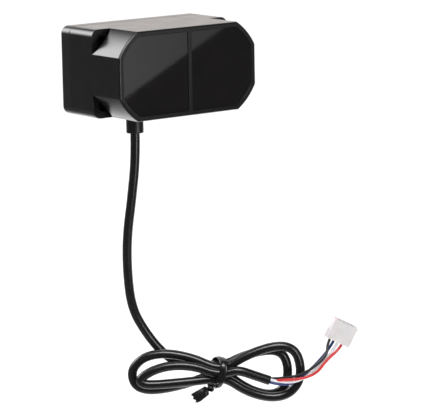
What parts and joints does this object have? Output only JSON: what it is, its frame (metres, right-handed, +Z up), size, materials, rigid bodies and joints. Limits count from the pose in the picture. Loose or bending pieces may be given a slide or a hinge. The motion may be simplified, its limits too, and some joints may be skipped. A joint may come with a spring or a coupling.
{
  "type": "optical distance sensor",
  "caption": "Compact black infrared distance sensor with twin dark windows, corner fixing ears, a back cover and a tied lead ending in a small white plug.",
  "frame": {"origin": "centre of the four fixing holes, on the back face", "axes": "+X right and +Z up as the windows are looked at, +Y out of the back face; the windows face -Y and the lead hangs down"},
  "size_m": [0.0492, 0.0383, 0.082],
  "materials": {
    "housing_plastic": "satin black moulded plastic, fine grain",
    "cover_plastic": "satin black moulded plastic, fine grain",
    "window_tint": "polished dark infrared-passing acrylic",
    "black_foam": "black closed-cell foam",
    "seal_silicone": "grey-black silicone",
    "holder_plastic": "matt black moulded plastic",
    "lens_clear": "polished clear acrylic",
    "ring_metal": "black anodised",
    "filter_glass": "coated filter glass",
    "board_green": "glossy solder mask over glass fibre",
    "chip_black": "moulded chip resin",
    "part_ceramic": "ceramic chip body",
    "resistor_body": "glazed ceramic chip",
    "pin_gold": "gold-plated pins",
    "can_metal": "plated metal can",
    "screw_steel": "zinc-plated steel",
    "spacer_brass": "turned brass",
    "socket_nylon": "natural white nylon",
    "gland_rubber": "black moulded rubber",
    "lead_jacket": "satin black soft PVC",
    "tie_plastic": "black plastic-covered tie",
    "core_white": "white wire insulation",
    "core_blue": "dark blue wire insulation",
    "core_black": "black wire insulation",
    "core_red": "red wire insulation",
    "contact_tin": "tin-plated contact"
  },
  "bodies": {
    "root": {"back_cover": "cover_plastic", "band_filter": "filter_glass", "board_screws": "screw_steel", "capacitors": "part_ceramic", "cover_seal": "seal_silicone", "crystal": "can_metal", "hank_tie": "tie_plastic", "header_body": "chip_black", "header_pins": "pin_gold", "inner_core_black": "core_black", "inner_core_blue": "core_blue", "inner_core_red": "core_red", "inner_core_white": "core_white", "inner_plug": "socket_nylon", "lamp_chip": "chip_black", "lamp_driver_chip": "chip_black", "lamp_lens": "lens_clear", "lamp_lens_ring": "ring_metal", "lamp_window": "window_tint", "lamp_window_tape": "black_foam", "lead_clamp": "can_metal", "lead_core_black": "core_black", "lead_core_blue": "core_blue", "lead_core_red": "core_red", "lead_core_white": "core_white", "lead_drop": "lead_jacket", "lead_gland": "gland_rubber", "lead_hank": "lead_jacket", "lead_inner_end": "lead_jacket", "lead_socket": "socket_nylon", "light_baffle": "black_foam", "logic_board": "board_green", "main_housing": "housing_plastic", "optics_board": "board_green", "optics_holder": "holder_plastic", "plug_contacts": "contact_tin", "plug_housing": "socket_nylon", "power_inductor": "chip_black", "processor_chip": "chip_black", "receiver_chip": "chip_black", "receiver_lens": "lens_clear", "receiver_lens_ring": "ring_metal", "receiver_window": "window_tint", "receiver_window_tape": "black_foam", "regulator_chip": "chip_black", "resistors": "resistor_body", "spacer_left": "spacer_brass", "spacer_right": "spacer_brass"}
  },
  "joints": []
}
